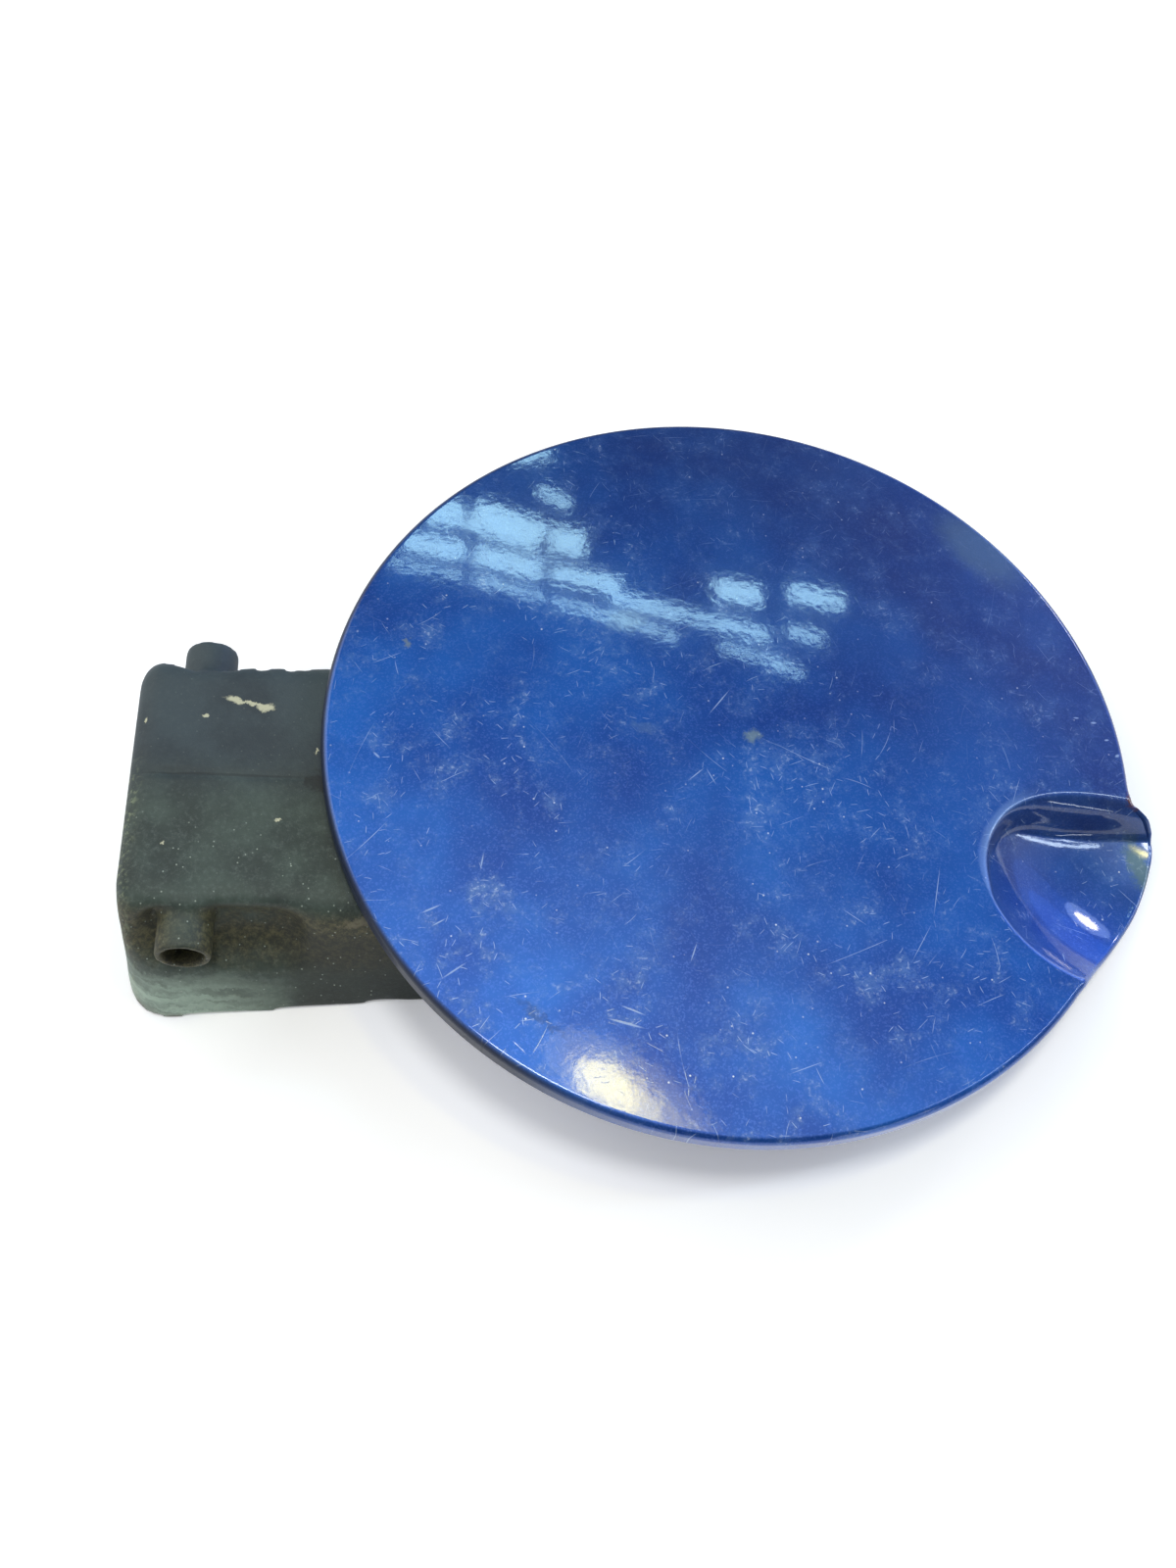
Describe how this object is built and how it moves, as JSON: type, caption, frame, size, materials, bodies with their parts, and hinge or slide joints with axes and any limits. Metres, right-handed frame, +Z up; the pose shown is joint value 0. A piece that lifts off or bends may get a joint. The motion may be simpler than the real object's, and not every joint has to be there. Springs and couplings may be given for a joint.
{
  "type": "car fuel door",
  "caption": "Round painted steel fuel door with a finger scoop at its edge, on a hollow moulded hinge arm with two hollow pivot pins.",
  "frame": {"origin": "on the hinge line, at the base of the front pivot pin; the door lies as it rests on a table, painted face up", "axes": "+X from the hinge towards the finger scoop, +Y along the hinge line away from the viewer, +Z up"},
  "size_m": [0.2144, 0.168, 0.0332],
  "materials": {
    "body_paint": "metallic blue base coat under clear coat, scratched and scuffed",
    "inner_paint": "thin blue paint, dull",
    "arm_plastic": "moulded, weathered and dusty",
    "zinc_steel": "zinc plated",
    "spring_steel": "blued spring steel",
    "black_plastic": "fine spark-eroded grain",
    "nylon": "natural, slightly yellowed",
    "rivet_aluminium": "bare",
    "buffer_rubber": "moulded"
  },
  "bodies": {
    "root": {"outer_panel": "body_paint", "inner_panel": "inner_paint", "hinge_arm": "arm_plastic", "weld_nuts": "zinc_steel", "arm_screws": "zinc_steel", "leaf_spring": "spring_steel", "spring_screws": "zinc_steel", "lock_striker": "black_plastic", "striker_rivets": "rivet_aluminium", "cap_holder": "nylon", "cap_holder_rivet": "rivet_aluminium", "buffer_front": "buffer_rubber", "buffer_rear": "buffer_rubber"}
  },
  "joints": []
}
